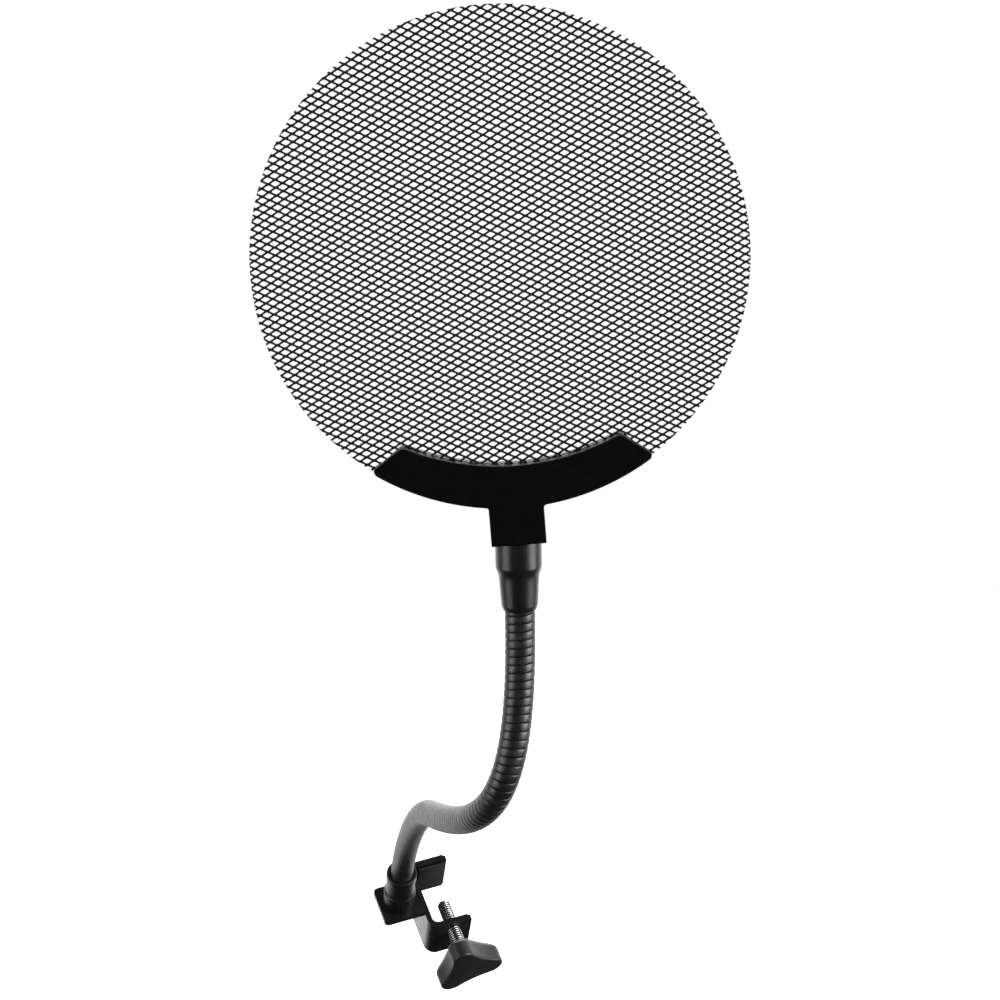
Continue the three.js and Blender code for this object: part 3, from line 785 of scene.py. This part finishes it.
class Neck:
    """The gooseneck's centreline, and a frame along it that doesn't twist."""

    def __init__(self):
        self.points = self.route()
        steps = np.diff(self.points, axis=0)
        lengths = np.linalg.norm(steps, axis=1)
        self.arc = np.concatenate([[0], np.cumsum(lengths)])
        self.length = self.arc[-1]
        self.tangents = np.gradient(self.points, self.arc, axis=0)
        self.tangents /= np.linalg.norm(self.tangents, axis=1)[:, None]
        self.sides = self.carried_side()
        self.ups = np.cross(self.tangents, self.sides)

    def route(self):
        """Straight in both sleeves, and two smooth curves between."""
        turn, climb = math.radians(NECK_ROUTE["turn"]), math.radians(NECK_ROUTE["climb"])
        direction = np.array(
            [
                math.sin(turn) * math.cos(climb),
                math.cos(turn) * math.cos(climb),
                math.sin(climb),
            ]
        )
        middle = HEAD.world(NECK_ROUTE["middle"]) / MM
        ferrule = lambda z: FERRULE_AXIS.world((0, 0, z)) / MM
        stem = lambda z: STEM_AXIS.world((0, 0, z)) / MM
        mouth = FERRULE_HEIGHT
        lower = cubic(
            ferrule(mouth),
            ferrule(mouth + NECK_ROUTE["ferrule_handle"]),
            middle + direction * NECK_ROUTE["down_handle"],
            middle,
        )
        upper = cubic(
            middle,
            middle - direction * NECK_ROUTE["up_handle"],
            stem(-SLEEVE_LENGTH - NECK_ROUTE["stem_handle"]),
            stem(-SLEEVE_LENGTH),
        )
        start = np.array([ferrule(z) for z in np.linspace(NECK_START, mouth, 20)])
        end = np.array([stem(z) for z in np.linspace(-SLEEVE_LENGTH, NECK_END, 25)])
        return np.concatenate([start, lower[1:], upper[1:], end[1:]])

    def carried_side(self):
        """A direction across the neck, carried along it without twisting."""
        sides = [unit(np.cross(self.tangents[0], SCREW_AXIS))]
        for tangent in self.tangents[1:]:
            sides.append(unit(sides[-1] - tangent * (sides[-1] @ tangent)))
        return np.array(sides)

    def sample(self, values, arc):
        return np.stack([np.interp(arc, self.arc, values[:, i]) for i in range(3)], axis=-1)

    def surface(self, arc, radius, turn):
        """Points at distances along the neck, off its centreline, and round it."""
        side, up = self.sample(self.sides, arc), self.sample(self.ups, arc)
        out = side * np.cos(turn)[..., None] + up * np.sin(turn)[..., None]
        return self.sample(self.points, arc) + out * radius[..., None]

    def arc_near(self, point):
        return self.arc[np.argmin(np.linalg.norm(self.points - point, axis=1))]


def wound_wire(name, neck, section, phase, start, end, steps_per_turn=36):
    """A wire wound round the neck: its section is (radius, offset along the neck) points."""
    radius, offset = np.array(section).T
    steps = round((end - start) / WIRE_PITCH * steps_per_turn)
    along = np.linspace(start, end, steps + 1)[:, None]
    turn = 2 * math.pi * (along / WIRE_PITCH + phase) + 0 * offset
    points = neck.surface(
        np.clip(along + offset, 0, neck.length), radius + 0 * along, turn
    ).reshape(-1, 3)
    count = len(section)
    last = steps * count
    faces = grid_faces(steps + 1, count)
    faces += [tuple(range(count)), tuple(range(last, last + count))]
    wire = mesh_object(name, points, faces)
    return shaded(wire, 50)


def wedge_section():
    """The wedge wire's outline: a low crown, and the root between the turns of the round wire."""
    half, radius = CROWN["half_width"], CROWN["radius"]
    centre = NECK_RADIUS - radius
    widths = np.linspace(half, -half, CROWN["steps"] + 1)
    crown = [(centre + math.sqrt(radius**2 - w**2), w) for w in widths]
    flank = [*WEDGE_SIDE, WEDGE_ROOT["flank"]]
    mirrored = [(depth, -width) for depth, width in flank]
    return [*crown, *mirrored, (WEDGE_ROOT["bottom"], 0), *reversed(flank)]


def round_section(sides=10):
    angles = np.linspace(0, 2 * math.pi, sides, endpoint=False)
    centre, radius = ROUND_WIRE["centre"], ROUND_WIRE["radius"]
    return [(centre + radius * math.cos(a), radius * math.sin(a)) for a in angles]


def mark_crests(wire, neck):
    """Marks the outermost line of the wedge wire, where the paint wears."""
    crest = wire.data.attributes.new("crest", "FLOAT", "POINT")
    points = np.array([v.co for v in wire.data.vertices]) / MM
    nearest = [np.linalg.norm(neck.points - p, axis=1).min() for p in points]
    low, high = NECK_RADIUS - CREST_HEIGHT, NECK_RADIUS
    crest.data.foreach_set("value", np.clip((np.array(nearest) - low) / (high - low), 0, 1))


def gooseneck():
    """The neck in eight lengths, each of which spans one hinge."""
    neck = Neck()
    hinges = [JOINTS[f"neck_hinge_{i}"] for i in range(1, HINGE_COUNT + 1)]
    arcs = [neck.arc_near(np.array(h["pos_m"]) / MM) for h in hinges]
    cuts = [0, *((a + b) / 2 for a, b in zip(arcs, arcs[1:])), neck.length]
    for i, hinge_arc in enumerate(arcs):
        number = i + 1
        nodes = [number, number + 1] if number == len(arcs) else [number]
        span = (cuts[i], cuts[i + 1])
        wedge = wound_wire(f"neck_wedge_wire_{number}", neck, wedge_section(), 0, *span)
        mark_crests(wedge, neck)
        finished(wedge, "neck_paint", None, [f"gooseneck_wedge_{n}" for n in nodes])
        core = wound_wire(f"neck_round_wire_{number}", neck, round_section(), 0.5, *span)
        finished(core, "neck_paint", None, [f"gooseneck_core_{n}" for n in nodes])
        for wire in (wedge, core):
            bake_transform(wire)


# ---------------------------------------------------------------- clamp


def strip_outline():
    """The strip's profile across the pole: jaw, web and screw arm."""
    thickness, web, bend = STRIP["thickness"], STRIP["web"], STRIP["bend"]
    inner = bend - thickness
    arm, jaw = STRIP["arm_face"], STRIP["jaw_face"]
    x = web + bend
    arm_centre, jaw_centre = (x, arm + inner), (x, jaw - inner)
    return [
        (STRIP["arm_end"], arm - thickness),
        (STRIP["arm_end"], arm),
        *arc(arm_centre, inner, -90, -180, 10),
        *arc(jaw_centre, inner, 180, 90, 10),
        (STRIP["jaw_end"], jaw),
        (STRIP["jaw_end"], jaw + thickness),
        *arc(jaw_centre, bend, 90, 180, 14),
        *arc(arm_centre, bend, 180, 270, 14),
    ]


def tab_outline():
    outer, front, back, corner = (TAB[k] for k in ("outer", "front", "back", "corner"))
    root = STRIP["web"] + TAB["root"]
    return [
        (root, front),
        (root, back),
        *arc((outer + corner, back - corner), corner, 90, 180, 8),
        *arc((outer + corner, front + corner), corner, 180, 270, 8),
    ]


def rounded_strip_ends(body):
    """Rounds the outer corners of the jaw and of the screw arm."""
    work = bmesh.new()
    work.from_mesh(body.data)
    slack = 0.1
    start = min(STRIP["jaw_end"], STRIP["arm_end"]) - slack
    axes = CLAMP.axes / MM
    corners = [
        edge
        for edge in work.edges
        if all(axes[0] @ np.array(vert.co) > start for vert in edge.verts)
        and abs(axes[1] @ np.array(edge.verts[0].co - edge.verts[1].co)) > STRIP["thickness"] / 2
    ]
    bmesh.ops.bevel(work, geom=corners, offset=STRIP["corner"] * MM, segments=5, affect="EDGES")
    work.to_mesh(body.data)
    work.free()


def clamp_body():
    top, thickness = STRIP["top"], STRIP["thickness"]
    body = prism("clamp_strip", strip_outline(), STRIP["bottom"], top, CLAMP)
    rounded_strip_ends(body)
    tab = prism("tab", tab_outline(), top - thickness, top, CLAMP)
    combined(body, "UNION", [tab])
    arm = -STRIP["arm_face"]
    low, high = (arm + reach for reach in SCREW_HOLE_REACH)
    screw_hole = drill(SCREW["hole"], low, high, ALONG_SCREW)
    tab_hole = drill(TAB_HOLE, *TAB_HOLE_REACH, FERRULE_AXIS, 32)
    combined(body, "DIFFERENCE", [screw_hole, tab_hole])
    bevelled(body, STRIP["edge"], 2)
    shaded(body)
    finished(body, "clamp_paint", "clamp", ["clamp_body"])


def clamp_screw():
    """A rod with a true right-hand thread. It turns with the knob, as on the real clamp."""
    columns, per_turn = 48, 16
    crest, root, pitch = SCREW["crest"], SCREW["root"], SCREW["pitch"]
    rows = round((SCREW["end"] - SCREW["tip"]) / pitch * per_turn)
    z = np.linspace(SCREW["tip"], SCREW["end"], rows + 1)[:, None]
    turn = np.linspace(0, 2 * math.pi, columns, endpoint=False)[None, :]
    thread = (0.5 + 0.5 * np.cos(2 * math.pi * z / pitch - turn)) ** SCREW["fullness"]
    runout = np.clip((z - SCREW["tip"]) / (SCREW["runout"] * pitch), 0, 1)
    tip_radius = root - SCREW["chamfer"]
    radius = tip_radius + (root + (crest - root) * thread - tip_radius) * runout
    points = np.stack([radius * np.cos(turn), radius * np.sin(turn), z + 0 * turn], axis=-1)
    faces = grid_faces(rows + 1, columns)
    faces += [tuple(range(columns)), tuple(range(rows * columns, (rows + 1) * columns))]
    screw = mesh_object("screw_thread", points.reshape(-1, 3), faces, ALONG_SCREW)
    shaded(screw, 60)
    # The crest marks drive painted shade in the thread's roots and a painted highlight on its crests.
    heights = np.clip((radius - root) / (crest - root), 0, 1)
    marks = screw.data.attributes.new("crest", "FLOAT", "POINT")
    marks.data.foreach_set("value", heights.ravel())
    finished(screw, "zinc", "knob", ["clamp_screw"], "zinc_thread_painted_light")


def lobe_outline():
    """Three round lobes with hollow sides between them, from the first lobe's middle round."""
    turn, centre, radius, sweep, hollow = (
        KNOB_LOBES[k] for k in ("turn", "centre", "radius", "half_sweep", "hollow")
    )
    polar = lambda length, angle: np.array(
        [length * math.cos(math.radians(angle)), length * math.sin(math.radians(angle))]
    )
    outline = []
    spacing = 360 / KNOB_LOBES["count"]
    for lobe in range(KNOB_LOBES["count"]):
        angle = turn + spacing * lobe
        outline += arc(polar(centre, angle), radius, angle - sweep, angle + sweep, 16)
        following = polar(centre, angle + spacing) + polar(radius, angle + spacing - sweep)
        outline += curve_through(outline[-1], polar(hollow, angle + spacing / 2), following, 12)
    return np.array(outline)


def knob_rings():
    """Each ring's height, the radius of its round outline, the lobes' share, and their size."""
    start, end, bore, neck = (KNOB[k] for k in ("start", "end", "bore", "neck"))
    edge, flare, chamfer = KNOB["edge"], KNOB["flare"], KNOB["bore_chamfer"]
    flare_start, shoulder = start + KNOB["flare_start"], start + KNOB["shoulder"]
    rings = [
        (KNOB["bore_end"], 0, 0, 0),
        (KNOB["bore_end"], bore, 0, 0),
        (start + chamfer, bore, 0, 0),
        (start, bore + chamfer, 0, 0),
        *((start + height, neck - inset, 0, 0) for height, inset in KNOB["neck_edge"]),
    ]
    for t in np.linspace(0, 1, 17):
        height = flare_start + t * (shoulder - flare_start)
        share = math.sin(t * math.pi / 2) ** 1.5
        rings.append((height, neck + t * (flare - neck), share, 1))
    lobe_reach = KNOB_LOBES["centre"] + KNOB_LOBES["radius"]
    for turn in np.radians(np.linspace(0, 90, 7)):
        size = 1 - edge / lobe_reach * (1 - math.cos(turn))
        rings.append((end - edge + edge * math.sin(turn), flare, 1, size))
    (low, share, size), (high, *centre) = KNOB["crown"]
    return [*rings, (end + low, flare, share, size), (end + high, 0, *centre)]


def clamp_knob():
    """A hub that flares into three lobes. Each ring is a circle, the lobes' outline or between."""
    lobes = lobe_outline()
    round_ = lobes / np.linalg.norm(lobes, axis=1)[:, None]
    rings = knob_rings()
    points = []
    for height, radius, share, size in rings:
        ring = round_ * radius * (1 - share) + lobes * share * size
        points += [(x, y, height) for x, y in ring]
    faces = grid_faces(len(rings), len(lobes))
    knob = mesh_object("knob_three_lobed", points, faces, ALONG_SCREW)
    shaded(knob, 50)
    finished(knob, "knob_plastic", "knob", ["clamp_knob"])


# ---------------------------------------------------------------- carried-over CAD nodes


def dress_cad_nodes():
    """Gives every CAD node that still shows its slot's material, and rounds its shading."""
    slots = {s["node"]: s["material_slot"] for s in frame["record"]["subparts"]}
    for name, node in frame["nodes"].items():
        if node.hide_render:
            continue
        node.data.materials.clear()
        node.data.materials.append(MATERIALS[slots[name]])
        weld = node.modifiers.new("weld", "WELD")
        weld.merge_threshold = 1e-6
        bevel = node.modifiers.new("bevel", "BEVEL")
        bevel.width = CAD_BEVEL * MM
        bevel.segments = 2
        bevel.limit_method = "ANGLE"
        bevel.angle_limit = math.radians(CORNER_ANGLE)
        bevel.harden_normals = True
        node.data.shade_smooth()


# ---------------------------------------------------------------- studio


def add_camera():
    data = bpy.data.cameras.new("camera")
    data.lens = CAMERA_LENS
    data.sensor_width = SENSOR_WIDTH
    data.clip_start, data.clip_end = CLIP_RANGE
    camera = new_object("camera", data)
    eye, aim = Vector(HEAD.world(CAMERA_OFFSET)), Vector(HEAD.world(CAMERA_AIM))
    camera.location = eye
    camera.rotation_mode = "QUATERNION"
    roll = Quaternion((0, 0, 1), math.radians(CAMERA_ROLL))
    camera.rotation_quaternion = (aim - eye).to_track_quat("-Z", "Y") @ roll
    bpy.context.scene.camera = camera


def add_floor():
    low, _ = CAD_BOUNDS
    floor_place = Place((0, 0, low.z - FLOOR_DROP * MM), *ROW.axes)
    outline = arc((0, 0), FLOOR_RADIUS, 0, 360 - 360 / FLOOR_SIDES, FLOOR_SIDES - 1)
    floor = prism("floor", outline, -FLOOR_THICKNESS, 0, floor_place)
    shader = Shader("pale_floor", Roughness=0.9, Emission_Strength=FLOOR_GLOW)
    shader.surface.inputs["Emission Color"].default_value = (1, 1, 1, 1)
    shader.color(shader.ranged(shader.noise(60), 0, 1), (0.88, 0.88, 0.88), (0.91, 0.91, 0.91))
    floor.data.materials.append(shader.material)
    floor.visible_diffuse = False
    floor.visible_glossy = False


def soft_box(name, azimuth, elevation, distance, size, watts, color):
    """A rectangular area light, aimed at the part. Azimuth is measured from the camera's side."""
    low, high = CAD_BOUNDS
    centre = (low + high) / 2
    a, e = math.radians(azimuth), math.radians(elevation)
    away = Vector((math.sin(a) * math.cos(e), -math.cos(a) * math.cos(e), math.sin(e)))
    data = bpy.data.lights.new(name, "AREA")
    data.shape = "RECTANGLE"
    data.size, data.size_y = size
    data.energy = watts
    data.color = color
    light = new_object(name, data)
    light.location = centre + away * distance
    light.rotation_mode = "QUATERNION"
    light.rotation_quaternion = (-away).to_track_quat("-Z", "Y")
    light.visible_camera = False


def add_lights():
    for box in SOFT_BOXES:
        soft_box(*box)
    behind = bpy.data.lights.new("behind", "SUN")
    behind.energy = SUN["strength"]
    behind.angle = math.radians(SUN["angle"])
    sun = new_object("behind", behind)
    sun.rotation_euler = (math.radians(SUN["tilt"]), 0, 0)


def add_world():
    """White all round for the camera. It lights the part from behind, and the front stays dim."""
    world = bpy.data.worlds.new("studio")
    bpy.context.scene.world = world
    world.use_nodes = True
    nodes, links = world.node_tree.nodes, world.node_tree.links
    split = nodes.new("ShaderNodeSeparateXYZ")
    links.new(nodes.new("ShaderNodeTexCoord").outputs["Generated"], split.inputs["Vector"])

    def fade(axis, start, end, low, high):
        node = nodes.new("ShaderNodeMapRange")
        node.interpolation_type = "SMOOTHSTEP"
        links.new(split.outputs[axis], node.inputs["Value"])
        limits = (start, end, low, high)
        for socket, limit in zip(("From Min", "From Max", "To Min", "To Max"), limits):
            node.inputs[socket].default_value = limit
        return node.outputs["Result"]

    glow = nodes.new("ShaderNodeMath")
    glow.operation = "MULTIPLY_ADD"
    links.new(fade("Y", *BACK_FADE, 0, BACK_LIGHT), glow.inputs[0])
    links.new(fade("Z", *LOW_FADE, 0, 1), glow.inputs[1])
    glow.inputs[2].default_value = FRONT_LIGHT
    strength = nodes.new("ShaderNodeMix")
    links.new(nodes.new("ShaderNodeLightPath").outputs["Is Camera Ray"], strength.inputs["Factor"])
    links.new(glow.outputs["Value"], strength.inputs["A"])
    strength.inputs["B"].default_value = 1
    backdrop = nodes["Background"]
    backdrop.inputs["Color"].default_value = (1, 1, 1, 1)
    links.new(strength.outputs["Result"], backdrop.inputs["Strength"])
    bpy.context.scene.view_settings.view_transform = "Standard"


# ---------------------------------------------------------------- assembly

add_camera()
expanded_metal()
holder_front()
holder_rear()
upper_sleeve()
lower_sleeve()
gooseneck()
clamp_body()
clamp_screw()
clamp_knob()
dress_cad_nodes()
add_floor()
add_lights()
add_world()
